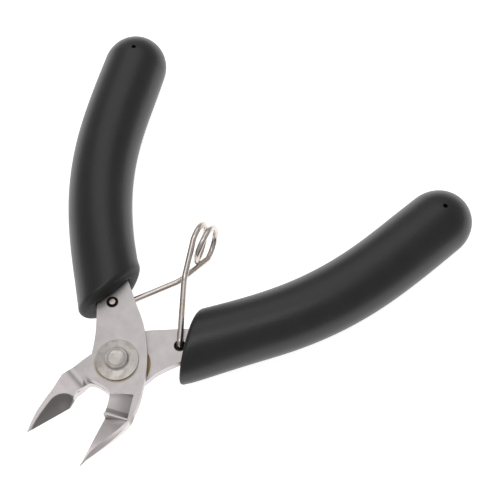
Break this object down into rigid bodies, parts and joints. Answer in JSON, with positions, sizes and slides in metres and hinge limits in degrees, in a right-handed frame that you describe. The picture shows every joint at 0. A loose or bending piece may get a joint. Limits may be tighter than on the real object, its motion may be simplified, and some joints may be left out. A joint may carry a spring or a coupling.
{
  "type": "flush cutter",
  "caption": "Small flush cutter with lap-jointed steel jaws, a coiled wire return spring and curved black moulded grips, standing open.",
  "frame": {"origin": "centre of the rear rivet face, on the pivot axis", "axes": "+Y from the pivot to the handles along the tool's middle line, +Z from the rear half to the front half along the pivot axis"},
  "size_m": [0.1114, 0.1087, 0.0161],
  "materials": {
    "plate_steel": "satin ground stainless steel",
    "turned_steel": "lathe-turned steel",
    "brass": "dull brass",
    "spring_wire": "bright drawn wire",
    "grip_rubber": "fine matt moulded vinyl"
  },
  "bodies": {
    "front_half": {"front_jaw_plate": "plate_steel", "front_grip": "grip_rubber", "pivot_rivet": "turned_steel", "rear_rivet_head": "turned_steel", "friction_washer": "brass", "return_spring": "spring_wire"},
    "rear_half": {"rear_jaw_plate": "plate_steel", "rear_grip": "grip_rubber"}
  },
  "joints": [
    {"name": "jaw_pivot", "type": "hinge", "parent": "front_half", "child": "rear_half", "pos_m": [0, 0, 0], "axis": [0, 0, 1], "range_deg": [-4, 32.5], "stiffness_Nm_per_rad": 0.6, "deforming": ["return_spring"]}
  ]
}
